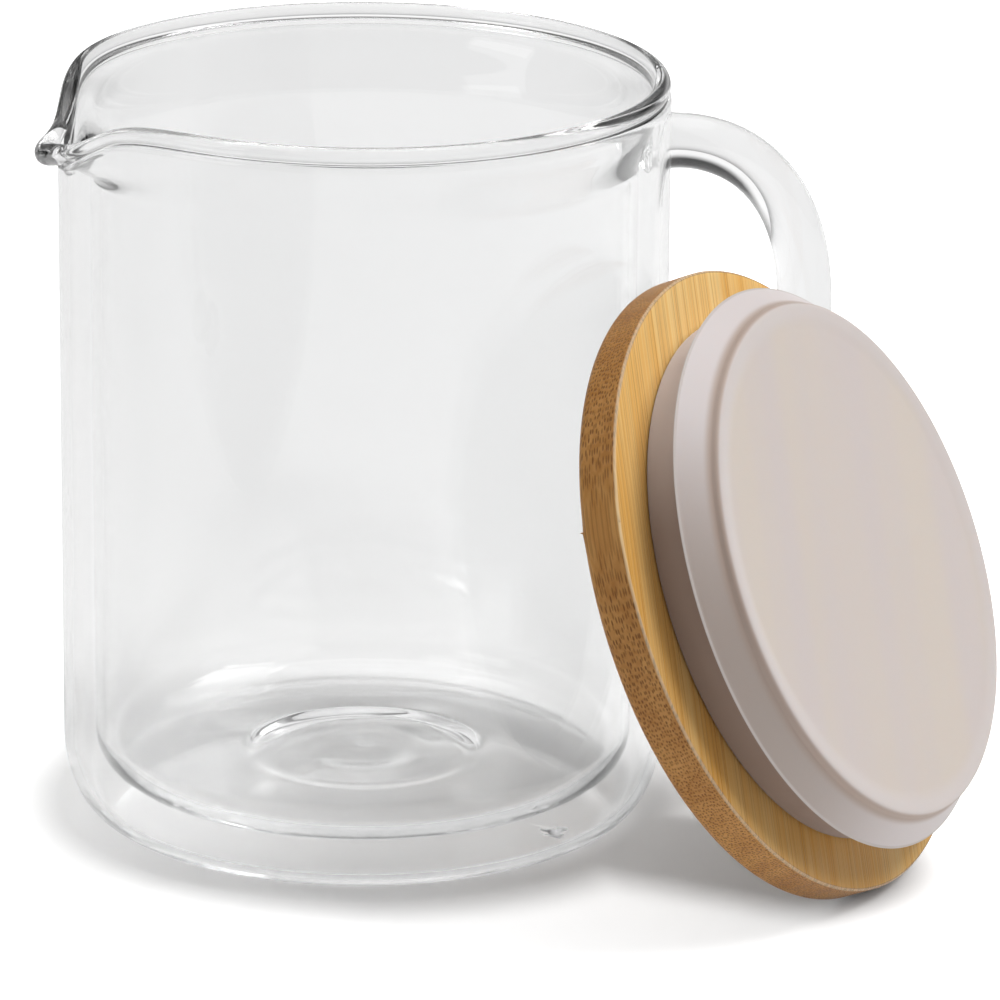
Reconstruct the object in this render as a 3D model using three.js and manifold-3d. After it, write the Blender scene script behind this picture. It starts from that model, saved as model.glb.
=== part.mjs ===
// Double-walled glass coffee pot with its bamboo lid taken off and leaning against it.
// Millimetres, +Z up. The origin is the centre of the pot's base, the spout points along -X
// and the handle along +X.

import * as THREE from 'three';
import { mergeVertices } from 'three/addons/utils/BufferGeometryUtils.js';
import Module from 'manifold-3d';

const wasm = await Module();
wasm.setup();

// Outer wall
const outerRadius = 60;
const potHeight = 149.5;
const outerWall = 2;
const baseThickness = 2.4;
const baseCornerWidth = 8;
const baseCornerHeight = 15.5;

// Inner vessel, hung from the rim inside the outer wall
const wallGap = 4.3;
const vesselWall = 1.9;
const vesselFloor = 2.4;
const vesselCorner = 9.5;
const floorGap = 4.7;
const floorPush = 1.2;
const flareTopDepth = 4;
const flareBottomDepth = 18;

// Fused rim that joins the two walls
const rimHeight = 2.7;
const rimWidth = 3.6;
const rimRound = 1.6;
const wedgeGap = 0.4;
const fuseGap = 0.3;

// Spout drawn out of the rim: how far the lip is pulled out and down, the angles over which the
// pull fades round the rim and how sharply, and how deep below the rim the walls follow it down
const spoutReach = 5.1;
const spoutDip = 10.6;
const spoutTipAngle = 0.135;
const spoutTipEdge = 1.8;
const spoutDipAngle = 0.325;
const spoutDipEdge = 1.9;
const spoutDepth = 22;
const spoutEase = 0.4;

// Share of the outward pull that the wall under the rim takes, the depth over which it fades, and
// the round bead that the rim gathers into at the tip
const spoutShoulder = 0.25;
const spoutShoulderDepth = 7;
const tipBead = 2.5;
const tipBeadAngle = 0.085;

// Handle: a bent glass rod; its reach is measured from the wall to the outside of the rod
const handleRod = 11;
const handleTopDepth = 17.4;
const handleSpan = 73.5;
const handleReach = 36.5;
const handleSquare = 2.3;
const handleBury = 6;

// Vent in the base through which the gap was aired, closed by a glass bead
const ventInset = 4.5;
const ventAzimuth = THREE.MathUtils.degToRad(-51.6);
const ventRadius = 1.6;
const ventHead = 2.4;
const ventHeadHeight = 1.4;
const ventRecess = 0.4;

// Lid: a board of bamboo strips, turned to a step that fills the seal
const lidOverhang = 2;
const lidThickness = 9;
const lidRound = 2;
const lidArris = 0.6;
const stripCount = 5;
const glueLine = 0.3;
const grainTurn = THREE.MathUtils.degToRad(27);

// Silicone seal stretched over the step: its wall and face, the lip that grips the mouth, and the
// plate that stands on it with a bead round its face
const sealFit = 0.3;
const sealWall = 2.2;
const sealFace = 1.4;
const sealHeight = 14.2;
const sealGap = 3.1;
const lipClearance = 0.6;
const lipDrop = 4.7;
const lipThickness = 1.5;
const lipEdge = 0.5;
const plateInset = 0.6;
const plateRise = 1.1;
const plateRound = 1.1;
const beadWidth = 3.2;
const beadHeight = 0.5;

// How the lid leans on the pot
const leanAzimuth = THREE.MathUtils.degToRad(-41);
const leanRise = THREE.MathUtils.degToRad(23.9);
const leanGap = 0.3;

const glassSegments = 64;
const lidSegments = 56;
const ventSegments = 24;
const handleSteps = 36;
const handleSides = 18;
const cornerSteps = 5;
const flareSteps = 4;
const rimSteps = 6;
const rimSideSteps = 3;
const roundSteps = 4;
const spoutCrowding = 0.6;

const rimBottom = potHeight - rimHeight;
const rimSide = rimHeight - rimRound;
const rimTop = potHeight - rimRound;
const rimMiddle = outerRadius - rimWidth / 2;
const outerInside = outerRadius - outerWall;
const baseFlat = outerRadius - baseCornerWidth;
const vesselRadius = outerInside - wallGap;
const vesselInside = vesselRadius - vesselWall;
const vesselBottom = baseThickness + floorGap;
const mouthRadius = outerRadius - rimWidth;
const flareOutside = outerInside - wedgeGap;
const ventX = (baseFlat - ventInset) * Math.cos(ventAzimuth);
const ventY = (baseFlat - ventInset) * Math.sin(ventAzimuth);
const lidRadius = outerRadius + lidOverhang;
const sealStem = vesselInside;
const stepRadius = sealStem - sealWall - sealFit;
const stepHeight = sealHeight - sealFace - sealFit;

const glass = { color: 0xeef1f0, roughness: 0.03, metalness: 0, transparent: true, opacity: 0.4 };
const bamboo = { color: 0xc8954f, roughness: 0.55, metalness: 0 };
const silicone = { color: 0xded5cf, roughness: 0.45, metalness: 0 };

function clamp01(value) {
  return Math.min(Math.max(value, 0), 1);
}

function smooth(value) {
  const u = clamp01(value);
  return u * u * (3 - 2 * u);
}

// Points on a quarter of an ellipse from angle start to angle end, centred on (r, z).
function arc(r, z, width, height, start, end, steps) {
  const points = [];
  for (let i = 0; i <= steps; i += 1) {
    const angle = start + (end - start) * i / steps;
    points.push([r + width * Math.cos(angle), z + height * Math.sin(angle)]);
  }
  return points;
}

// A profile of [radius, height] points turned about Z.
function turned(profile, segments) {
  const points = profile.map(([r, z]) => new THREE.Vector2(Math.max(r, 0), z));
  const geometry = new THREE.LatheGeometry(points, segments);
  geometry.rotateX(Math.PI / 2);
  return geometry;
}

function bare(geometry) {
  const copy = geometry.clone();
  copy.deleteAttribute('normal');
  copy.deleteAttribute('uv');
  const merged = mergeVertices(copy, 1e-4);
  merged.setIndex(withoutSlivers(merged.index.array));
  return merged;
}

// Triangles that lost a corner where a profile meets the axis are left out.
function withoutSlivers(index) {
  const kept = [];
  for (let i = 0; i < index.length; i += 3) {
    const [a, b, c] = [index[i], index[i + 1], index[i + 2]];
    if (a !== b && b !== c && c !== a) {
      kept.push(a, b, c);
    }
  }
  return kept;
}

function solid(geometry) {
  const merged = bare(geometry);
  return new wasm.Manifold(new wasm.Mesh({
    numProp: 3,
    vertProperties: new Float32Array(merged.attributes.position.array),
    triVerts: new Uint32Array(merged.index.array),
  }));
}

function geometryOf(body) {
  const mesh = body.getMesh();
  const geometry = new THREE.BufferGeometry();
  geometry.setAttribute('position', new THREE.BufferAttribute(new Float32Array(mesh.vertProperties), 3));
  geometry.setIndex(new THREE.BufferAttribute(new Uint32Array(mesh.triVerts), 1));
  return geometry;
}

function part(name, geometry, finish) {
  const shape = geometry.index && !geometry.attributes.normal ? geometry : bare(geometry);
  shape.computeVertexNormals();
  const mesh = new THREE.Mesh(shape, new THREE.MeshStandardMaterial(finish));
  mesh.name = name;
  return mesh;
}

// How much of the spout's downward pull reaches a point at this height: none below the spout, a
// soft start, then an even rise to the rim.
function spoutRise(z) {
  const u = clamp01((z - (potHeight - spoutDepth)) / (spoutDepth - rimHeight - fuseGap));
  const slope = 1 / (1 - spoutEase / 2);
  return u < spoutEase ? slope * u * u / (2 * spoutEase) : slope * (u - spoutEase / 2);
}

// How far a point of the turned walls is pulled out and down, at this angle from the spout.
function spoutPull(radius, z, angle) {
  const outBell = Math.exp(-((Math.abs(angle) / spoutTipAngle) ** spoutTipEdge));
  const downBell = Math.exp(-((Math.abs(angle) / spoutDipAngle) ** spoutDipEdge));
  const swell = Math.exp(-((angle / tipBeadAngle) ** 2));
  const shoulder = spoutShoulder * smooth((z - rimBottom) / spoutShoulderDepth + 1);
  const nearZero = 1e-3;
  if (z < rimBottom + nearZero) {
    const sag = (tipBead - rimSide) * swell;
    return [spoutReach * outBell * shoulder, (spoutDip * downBell + sag) * spoutRise(z)];
  }

  // In the rim a point moves away from the middle of the section until that is round at the tip.
  const climb = clamp01((z - rimBottom) / rimSide);
  const share = shoulder + (1 - spoutShoulder) * smooth(climb);
  const across = radius - rimMiddle;
  const above = z - rimTop;
  const turn = -Math.PI / 2 * (1 - climb);
  const onSide = above < -nearZero;
  const fullAcross = onSide ? tipBead * Math.cos(turn) : 2 * across * tipBead / rimWidth;
  const fullAbove = onSide ? tipBead * Math.sin(turn) : above * tipBead / rimRound;
  const out = spoutReach * outBell * (share + (1 - share) * swell);
  return [out + swell * (fullAcross - across), spoutDip * downBell - swell * (fullAbove - above)];
}

// Crowds the turned segments towards the spout and draws the lip out and down there.
function drawSpout(geometry) {
  const position = geometry.attributes.position;
  for (let i = 0; i < position.count; i += 1) {
    const x = position.getX(i);
    const y = position.getY(i);
    const z = position.getZ(i);
    const radius = Math.hypot(x, y);
    const even = Math.atan2(-y, -x);
    const angle = even - spoutCrowding * Math.sin(even);
    const [out, down] = spoutPull(radius, z, angle);
    const drawn = radius + out;
    position.setXYZ(i, -drawn * Math.cos(angle), -drawn * Math.sin(angle), z - down);
  }
  return geometry;
}

// Outer wall: a straight cup with a soft base corner, open where it meets the rim.
function outerWallProfile() {
  const top = rimBottom - fuseGap;
  const insideWidth = baseCornerWidth - outerWall;
  const insideHeight = baseCornerHeight - baseThickness;
  return [
    [0, 0],
    ...arc(baseFlat, baseCornerHeight, baseCornerWidth, baseCornerHeight, -Math.PI / 2, 0, cornerSteps),
    [outerRadius, potHeight - spoutDepth],
    [outerRadius, potHeight - spoutDepth * 0.6],
    [outerRadius, rimBottom - spoutShoulderDepth],
    [outerRadius, rimBottom - spoutShoulderDepth / 2],
    [outerRadius, top],
    [outerInside, top],
    [outerInside, rimBottom - spoutShoulderDepth / 2],
    [outerInside, rimBottom - spoutShoulderDepth],
    [outerInside, potHeight - spoutDepth * 0.6],
    [outerInside, potHeight - spoutDepth],
    ...arc(baseFlat, baseCornerHeight, insideWidth, insideHeight, 0, -Math.PI / 2, cornerSteps),
    [0, baseThickness],
  ];
}

// Radius along the flare that carries the vessel's wall out to the rim.
function flareRadius(low, high, z) {
  const start = potHeight - flareBottomDepth;
  const length = flareBottomDepth - flareTopDepth;
  return low + (high - low) * smooth((z - start) / length);
}

function flare(low, high) {
  const points = [];
  for (let i = 0; i <= flareSteps; i += 1) {
    const z = potHeight - flareBottomDepth + (flareBottomDepth - flareTopDepth) * i / flareSteps;
    points.push([flareRadius(low, high, z), z]);
  }
  return points;
}

// Points up the outside of the rim, below its rounding.
function rimSidePoints() {
  const points = [];
  for (let i = 0; i < rimSideSteps; i += 1) {
    points.push([outerRadius, rimBottom + rimSide * i / rimSideSteps]);
  }
  return points;
}

// Inner vessel: a cup with a floor pushed up a little at its middle, a flare and the fused rim.
function vesselProfile() {
  const insideFloor = vesselBottom + vesselFloor;
  const insideCorner = vesselCorner - vesselWall;
  const insideMiddle = insideFloor + insideCorner;
  const cornerRadius = vesselRadius - vesselCorner;
  const cornerTop = vesselBottom + vesselCorner;
  return [
    [0, vesselBottom + floorPush],
    [cornerRadius / 2, vesselBottom + floorPush / 2],
    ...arc(cornerRadius, cornerTop, vesselCorner, vesselCorner, -Math.PI / 2, 0, cornerSteps),
    ...flare(vesselRadius, flareOutside),
    [flareOutside, rimBottom],
    ...rimSidePoints(),
    ...arc(rimMiddle, rimTop, rimWidth / 2, rimRound, 0, Math.PI, rimSteps),
    ...flare(vesselInside, mouthRadius).reverse(),
    ...arc(cornerRadius, insideMiddle, insideCorner, insideCorner, 0, -Math.PI / 2, cornerSteps),
    [cornerRadius / 2, insideFloor + floorPush / 2],
    [0, insideFloor + floorPush],
  ];
}

// Middle line of the handle: half of a squared oval standing in the XZ plane, run on a little
// into the wall at both ends.
class HandleLine extends THREE.Curve {
  getPoint(t, target = new THREE.Vector3()) {
    const middle = potHeight - handleTopDepth - handleSpan / 2;
    const swing = handleReach - handleRod / 2;
    const run = swing + handleBury;
    const bend = (run * 2 * t - handleBury) / swing;
    if (bend < 0) {
      return target.set(outerRadius + bend * swing, 0, middle + handleSpan / 2);
    }
    const back = (run * 2 * (1 - t) - handleBury) / swing;
    if (back < 0) {
      return target.set(outerRadius + back * swing, 0, middle - handleSpan / 2);
    }
    const angle = Math.PI * bend / (bend + back);
    const side = Math.sin(angle) ** (2 / handleSquare);
    const lift = Math.sign(Math.cos(angle)) * Math.abs(Math.cos(angle)) ** (2 / handleSquare);
    return target.set(outerRadius + swing * side, 0, middle + handleSpan / 2 * lift);
  }
}

function handleBody() {
  const section = new THREE.Shape();
  section.absarc(0, 0, handleRod / 2, 0, 2 * Math.PI);
  const rod = new THREE.ExtrudeGeometry(section, {
    steps: handleSteps,
    curveSegments: handleSides / 2,
    extrudePath: new HandleLine(),
  });
  const wallProfile = [
    [0, 0],
    [outerRadius + fuseGap, 0],
    [outerRadius + fuseGap, potHeight],
    [0, potHeight],
  ];
  return geometryOf(solid(rod).subtract(solid(turned(wallProfile, glassSegments))));
}

function ventHole() {
  const hole = new THREE.CylinderGeometry(ventRadius, ventRadius, 4 * baseThickness, ventSegments);
  hole.rotateX(Math.PI / 2);
  hole.translate(ventX, ventY, 0);
  return hole;
}

// Glass bead that closes the vent: a neck in the hole and a round head over it.
function ventBead() {
  const neck = ventRadius - fuseGap;
  const seat = baseThickness + fuseGap;
  const bead = turned([
    [0, ventRecess],
    [neck, ventRecess],
    [neck, seat],
    ...arc(0, seat, ventHead, ventHeadHeight, 0, Math.PI / 2, roundSteps),
  ], ventSegments);
  bead.translate(ventX, ventY, 0);
  return bead;
}

// The lid is turned about its own axis: heights run from the board's underside towards the seal.
function boardProfile() {
  return [
    [0, -lidThickness],
    ...arc(lidRadius - lidRound, lidRound - lidThickness, lidRound, lidRound, -Math.PI / 2, 0, roundSteps),
    [lidRadius, -lidArris],
    [lidRadius - lidArris, 0],
    [stepRadius, 0],
    [stepRadius, stepHeight],
    [0, stepHeight],
  ];
}

// One strip of the glued board: a slab of the turned board, cut along the grain.
function strip(index) {
  const pitch = 2 * lidRadius / stripCount;
  const height = 4 * (lidThickness + stepHeight);
  const slab = new THREE.BoxGeometry(pitch - glueLine, 4 * lidRadius, height);
  slab.translate((index - (stripCount - 1) / 2) * pitch, 0, 0);
  slab.rotateZ(-grainTurn);
  return geometryOf(solid(turned(boardProfile(), lidSegments)).intersect(solid(slab)));
}

// Seal: a cap over the step with a lip that hangs back like a skirt and a raised face with a bead.
function sealProfile() {
  const insideRadius = stepRadius + sealFit;
  const insideTop = stepHeight + sealFit;
  const lipRadius = mouthRadius - lipClearance;
  const lipTop = sealHeight - plateRise;
  const lipLow = lipTop - lipDrop;
  const plateRadius = sealStem - plateInset;
  const crest = sealHeight + beadHeight - plateRound;
  return [
    [0, insideTop],
    [insideRadius, insideTop],
    [insideRadius, sealFit],
    [sealStem, sealFit],
    [sealStem, sealHeight - sealGap],
    [lipRadius - lipThickness, lipLow],
    [lipRadius, lipLow + lipEdge],
    [plateRadius, lipTop],
    ...arc(plateRadius - plateRound, crest, plateRound, plateRound, 0, Math.PI / 2, roundSteps),
    [plateRadius - beadWidth, sealHeight],
    [0, sealHeight],
  ];
}

function leaningLid() {
  const tilted = new THREE.Group();
  for (let i = 0; i < stripCount; i += 1) {
    tilted.add(part(`bamboo_strip_${i + 1}`, strip(i), bamboo));
  }
  tilted.add(part('lid_seal', turned(sealProfile(), lidSegments), silicone));

  // The rounded edge of the board's upper face meets the pot's wall above and the table below.
  const flat = lidThickness - lidRound;
  const reach = lidRadius - lidRound;
  const away = outerRadius + leanGap + lidRound + flat * Math.cos(leanRise) + reach * Math.sin(leanRise);
  const height = lidRound + flat * Math.sin(leanRise) + reach * Math.cos(leanRise);
  tilted.rotation.x = Math.PI / 2 - leanRise;
  tilted.position.set(0, -away, height);

  const facing = new THREE.Group();
  facing.rotation.z = leanAzimuth + Math.PI / 2;
  facing.add(tilted);
  return facing;
}

const pot = new THREE.Group();
const outerShell = solid(drawSpout(turned(outerWallProfile(), glassSegments)));
pot.add(part('outer_wall', geometryOf(outerShell.subtract(solid(ventHole()))), glass));
pot.add(part('inner_vessel', drawSpout(turned(vesselProfile(), glassSegments)), glass));
pot.add(part('handle', handleBody(), glass));
pot.add(part('vent_bead', ventBead(), glass));
pot.add(leaningLid());

export default pot;
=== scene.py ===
import math

import bmesh
import bpy
import numpy as np
from mathutils import Matrix


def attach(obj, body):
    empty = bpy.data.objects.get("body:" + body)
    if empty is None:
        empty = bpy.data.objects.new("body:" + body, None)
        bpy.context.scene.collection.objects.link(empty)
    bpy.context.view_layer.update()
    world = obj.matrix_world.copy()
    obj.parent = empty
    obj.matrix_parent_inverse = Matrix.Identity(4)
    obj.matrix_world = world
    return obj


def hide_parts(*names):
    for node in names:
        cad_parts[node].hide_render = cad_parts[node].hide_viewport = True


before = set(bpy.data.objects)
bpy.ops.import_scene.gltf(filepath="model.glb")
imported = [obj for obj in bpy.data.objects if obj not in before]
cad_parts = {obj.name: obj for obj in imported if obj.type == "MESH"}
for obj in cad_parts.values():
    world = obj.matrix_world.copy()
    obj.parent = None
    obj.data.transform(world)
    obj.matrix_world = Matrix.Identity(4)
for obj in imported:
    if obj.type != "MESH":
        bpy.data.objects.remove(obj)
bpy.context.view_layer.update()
mm = 0.001
hair = 1e-6  # millimetres that count as nought
quarter = math.pi / 2
print("frame loaded:", len(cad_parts), "nodes")

# metres within which points become one and slivers are dropped
merging = {"points": 2e-8, "slivers": 1e-8}


# the four corners of each cell of a grid of vertex numbers
def cellsOf(index):
    corners = (index[:-1, :-1], index[1:, :-1], index[1:, 1:], index[:-1, 1:])
    return np.stack(corners, axis=-1).reshape(-1, 4)


# grid[i, j] is a point of the surface; neighbours are joined by quads, the columns close on
# themselves, and a row that has shrunk to one point becomes a pole; side is +1 where the faces look
# away from the space inside the grid and -1 where they look into it
def quadsOf(grid, side):
    rows, cols = grid.shape[:2]
    index = np.arange(rows * cols).reshape(rows, cols)
    quads = cellsOf(np.concatenate([index, index[:, :1]], axis=1))
    points = grid.reshape(-1, 3)
    a, b, c, d = (points[quads[:, k]] for k in range(4))
    volume = (np.cross(a, b) * c).sum() + (np.cross(a, c) * d).sum()
    return quads if volume * side > 0 else quads[:, ::-1]


# one mesh from one grid, or from an outer grid and the grid of the hollow in it
def skin(name, grid, hollow=None, layers=None, sharp=None):
    points, quads = grid.reshape(-1, 3), quadsOf(grid, 1)
    if hollow is not None:
        quads = np.concatenate([quads, quadsOf(hollow, -1) + len(points)])
        points = np.concatenate([points, hollow.reshape(-1, 3)])
    mesh = bpy.data.meshes.new(name)
    mesh.vertices.add(len(points))
    mesh.vertices.foreach_set("co", np.ascontiguousarray(points, np.float32).ravel())
    mesh.loops.add(quads.size)
    mesh.loops.foreach_set("vertex_index", np.ascontiguousarray(quads, np.int32).ravel())
    mesh.polygons.add(len(quads))
    mesh.polygons.foreach_set("loop_start", np.arange(0, quads.size, 4, dtype=np.int32))
    mesh.polygons.foreach_set("use_smooth", np.ones(len(quads), bool))
    mesh.update(calc_edges=True)
    for layer, values in (layers or {}).items():
        attribute = mesh.attributes.new(layer, "FLOAT_VECTOR", "POINT")
        attribute.data.foreach_set("vector", np.ascontiguousarray(values, np.float32).ravel())
    body = bmesh.new()
    body.from_mesh(mesh)
    bmesh.ops.remove_doubles(body, verts=body.verts, dist=merging["points"])
    bmesh.ops.dissolve_degenerate(body, dist=merging["slivers"], edges=body.edges)
    loose = [v for v in body.verts if not v.link_faces]
    bmesh.ops.delete(body, geom=loose, context="VERTS")
    body.to_mesh(mesh)
    body.free()
    mesh.validate()
    if sharp:
        mesh.set_sharp_from_angle(angle=math.radians(sharp))
    piece = bpy.data.objects.new(name, mesh)
    bpy.context.scene.collection.objects.link(piece)
    return piece


# joins other pieces to this one as fused glass is joined: no face is left inside
def fuse(piece, others, sharp):
    for other in others:
        union = piece.modifiers.new("fuse", "BOOLEAN")
        union.operation = "UNION"
        union.solver = "EXACT"
        union.object = other
    whole = piece.evaluated_get(bpy.context.evaluated_depsgraph_get())
    mesh = bpy.data.meshes.new_from_object(whole)
    piece.modifiers.clear()
    piece.data = mesh
    mesh.polygons.foreach_set("use_smooth", np.ones(len(mesh.polygons), bool))
    mesh.set_sharp_from_angle(angle=math.radians(sharp))
    for other in others:
        bpy.data.objects.remove(other)
    return piece


def place(piece, body, nodes, material):
    piece.data.materials.clear()
    piece.data.materials.append(material)
    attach(piece, body)
    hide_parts(*nodes)
    return piece


# points on part of an ellipse about (r, z), from angle start to angle end
def arc(r, z, width, height, start, end, steps):
    angle = np.linspace(start, end, steps + 1)
    return np.stack([r + width * np.cos(angle), z + height * np.sin(angle)], axis=1)


def line(first, last, steps):
    return np.linspace(first, last, steps + 1)


# rises from 0 to 1 as the value does, with level ends
def smooth(value):
    u = np.clip(value, 0, 1)
    return u * u * (3 - 2 * u)


# bell curve: 1 at nought, 1/e at the width, and flatter on top for a larger power
def bell(value, width, power=2):
    return np.exp(-(np.abs(value) / width) ** power)


nodeStep = 180  # nodes stand side by side in the order they are made


def newNode(tree, kind, **values):
    node = tree.nodes.new(kind)
    node.location = (nodeStep * len(tree.nodes), 0)
    for key, value in values.items():
        setattr(node, key, value)
    return node


def newMaterial(name):
    material = bpy.data.materials.new(name)
    material.use_nodes = True
    tree = material.node_tree
    return material, tree, tree.nodes["Principled BSDF"]


# a plain number, vector or colour is set on the target, and another node's output is wired to it
def wire(tree, source, target):
    if isinstance(source, (int, float, tuple)):
        target.default_value = source
    else:
        tree.links.new(source, target)


def maths(tree, operation, a, b=None, clamp=False):
    node = newNode(tree, "ShaderNodeMath", operation=operation, use_clamp=clamp)
    wire(tree, a, node.inputs[0])
    if b is not None:
        wire(tree, b, node.inputs[1])
    return node.outputs[0]


def vectorMaths(tree, operation, a, b=None):
    node = newNode(tree, "ShaderNodeVectorMath", operation=operation)
    wire(tree, a, node.inputs[0])
    if b is not None:
        wire(tree, b, node.inputs[1])
    plain = operation in ("DOT_PRODUCT", "LENGTH", "DISTANCE")
    return node.outputs["Value" if plain else "Vector"]


def blendColour(tree, amount, first, second):
    node = newNode(tree, "ShaderNodeMix", data_type="RGBA")
    wire(tree, amount, node.inputs[0])
    wire(tree, first, node.inputs[6])
    wire(tree, second, node.inputs[7])
    return node.outputs[2]


def blendValue(tree, amount, first, second):
    step = maths(tree, "SUBTRACT", second, first)
    return maths(tree, "ADD", maths(tree, "MULTIPLY", amount, step), first)


# 0 to 1 as the value goes from the first limit to the second, with level ends
def span(tree, value, limits, unit=1.0):
    node = newNode(tree, "ShaderNodeMapRange", interpolation_type="SMOOTHSTEP")
    wire(tree, value, node.inputs["Value"])
    node.inputs["From Min"].default_value = limits[0] * unit
    node.inputs["From Max"].default_value = limits[1] * unit
    return node.outputs[0]


# the middle value, moved up or down by half the range as the mask goes from 0 to 1
def varied(tree, mask, middle, whole):
    return maths(tree, "ADD", maths(tree, "MULTIPLY", mask, whole), middle - whole / 2)


def separated(tree, vector):
    node = newNode(tree, "ShaderNodeSeparateXYZ")
    wire(tree, vector, node.inputs[0])
    return node.outputs


def flatPlace(tree, x, y):
    node = newNode(tree, "ShaderNodeCombineXYZ")
    wire(tree, x, node.inputs["X"])
    wire(tree, y, node.inputs["Y"])
    return node.outputs[0]


def noisy(tree, vector, factors, detail):
    node = newNode(tree, "ShaderNodeTexNoise")
    node.inputs["Scale"].default_value = 1.0
    node.inputs["Detail"].default_value = detail
    wire(tree, vectorMaths(tree, "MULTIPLY", vector, factors), node.inputs["Vector"])
    return node.outputs["Fac"]


def addBump(tree, shader, height, strength, depth):
    bump = newNode(tree, "ShaderNodeBump")
    bump.inputs["Strength"].default_value = strength
    bump.inputs["Distance"].default_value = depth
    wire(tree, height, bump.inputs["Height"])
    wire(tree, bump.outputs["Normal"], shader.inputs["Normal"])


# clear blown glass: nearly colourless, with the faint waviness of a blown wall
glassLook = {
    "tint": (0.992, 0.993, 0.993, 1), "ior": 1.47, "waveScale": 38.0, "waveDetail": 1.0,
    "wave": 0.012, "waveDepth": 0.01,
}


def makeGlass():
    material, tree, shader = newMaterial("clearGlass")
    shader.inputs["Base Color"].default_value = glassLook["tint"]
    shader.inputs["Transmission Weight"].default_value = 1.0
    shader.inputs["IOR"].default_value = glassLook["ior"]
    shader.inputs["Roughness"].default_value = 0.0
    coords = newNode(tree, "ShaderNodeTexCoord")
    noise = newNode(tree, "ShaderNodeTexNoise")
    noise.inputs["Scale"].default_value = glassLook["waveScale"]
    noise.inputs["Detail"].default_value = glassLook["waveDetail"]
    wire(tree, coords.outputs["Object"], noise.inputs["Vector"])
    addBump(tree, shader, noise.outputs["Fac"], glassLook["wave"], glassLook["waveDepth"])
    return material


# sizes of the pot in millimetres, as in the part's own source
pot = {
    "radius": 60.0, "height": 149.5, "wall": 2.0, "base": 2.4, "cornerWide": 8.0, "cornerHigh": 15.5,
    "gap": 4.3, "vesselWall": 1.9, "vesselFloor": 2.4, "vesselCorner": 9.5, "floorGap": 4.7, "push": 1.2,
    "flareTop": 4.0, "flareBottom": 18.0, "rimIn": 0.2, "rimWide": 3.4, "rimRound": 1.85, "tuck": 0.9,
    "neck": 5.2, "seam": 4.2, "wedge": 0.4, "fuse": 0.3, "turns": 336, "crowd": 0.35, "sharp": 60,
}
# the bead of the rim is round down to where it tucks in on the shoulder of the wall
pot["rimHigh"] = pot["rimRound"] * (1 + math.sin(pot["tuck"]))
spout = {
    "reach": 5.1, "dip": 10.6, "tipAngle": 0.135, "tipEdge": 1.8, "dipAngle": 0.325, "dipEdge": 1.9,
    "depth": 22.0, "ease": 0.4, "shoulder": 0.25, "shoulderDepth": 7.0, "bead": 2.5, "beadAngle": 0.085,
}


# the lip is drawn out and down where it points along -X: both pulls fade round the rim as bell
# curves of the angle; the walls follow the downward pull from a soft start with an even rise and
# take only a share of the outward one, and the rim gathers into a round bead at the tip
def drawSpout(profile):
    even = np.linspace(-np.pi, np.pi, pot["turns"], endpoint=False)
    angle = (even - pot["crowd"] * np.sin(even))[None, :]
    tipBell = bell(angle, spout["tipAngle"], spout["tipEdge"])
    dipBell = bell(angle, spout["dipAngle"], spout["dipEdge"])
    swell = bell(angle, spout["beadAngle"])
    r, z = profile[:, :1], profile[:, 1:]
    rimLow = pot["height"] - pot["rimHigh"]
    start = pot["height"] - spout["depth"]
    u = np.clip((z - start) / (spout["depth"] - pot["rimHigh"] - pot["fuse"]), 0, 1)
    slope = 1 / (1 - spout["ease"] / 2)
    early = slope * u * u / (2 * spout["ease"])
    rise = np.where(u < spout["ease"], early, slope * (u - spout["ease"] / 2))
    side = pot["rimHigh"] - pot["rimRound"]
    climb = np.clip((z - rimLow) / side, 0, 1)
    share = spout["shoulder"] * smooth((z - rimLow) / spout["shoulderDepth"] + 1)
    share = share + (1 - spout["shoulder"]) * smooth(climb)
    inBead = z > rimLow + hair
    share = np.where(inBead, share + (1 - share) * swell, share)
    # in the bead the distance from its middle grows to the tip's round section
    half = pot["rimWide"] / 2
    middle, centre = pot["radius"] - pot["rimIn"] - half, pot["height"] - pot["rimRound"]
    turn = -quarter * (1 - climb)
    above = z >= centre - hair
    fullR = np.where(above, (r - middle) * spout["bead"] / half, spout["bead"] * np.cos(turn))
    fullZ = np.where(above, (z - centre) * spout["bead"] / pot["rimRound"], spout["bead"] * np.sin(turn))
    grow = inBead * swell
    out = spout["reach"] * tipBell * share + grow * (fullR - (r - middle))
    sag = (spout["bead"] - side) * swell * np.where(inBead, 0, rise)
    down = spout["dip"] * dipBell * rise + sag - grow * (fullZ - (z - centre))
    drawn = (r + out) * (r > 0)
    grid = np.stack([-drawn * np.cos(angle), -drawn * np.sin(angle), z - down + 0 * angle], axis=-1)
    return grid * mm


# radius along the flare that carries the vessel's wall out to the rim, from its top downwards
def flare(low, high, top, steps):
    z = np.linspace(top, pot["height"] - pot["flareBottom"], steps)
    climb = smooth((z - z[-1]) / (z[0] - z[-1]))
    return np.stack([low + (high - low) * climb, z], axis=1)


# floor of the vessel inside: ripples run round the middle as a cosine of the radius and die away
# outwards, a wide lump and a small dent are bell curves of the radius, and the middle is pressed in
# by a smooth step; each uneven place (x, y, height, width) is a bell curve about its own middle
ripple = {
    "height": 0.05, "length": 8.5, "fade": 15.0, "pip": 0.25, "pipWide": 2.6, "lump": 0.6, "lumpWide": 12.0,
    "step": -0.95, "stepFrom": 25.0, "stepTo": 19.5, "rings": 46, "ringsUnder": 12,
    "uneven": ((-14.0, 11.0, -0.5, 10.0), (17.0, 12.0, 0.45, 9.0)),
}


# the whole floor is pushed up in the middle, as half a cosine wave of the radius
def pushedUp(r, edge):
    return pot["push"] * 0.5 * (1 + np.cos(np.pi * np.clip(r / edge, 0, 1)))


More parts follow.
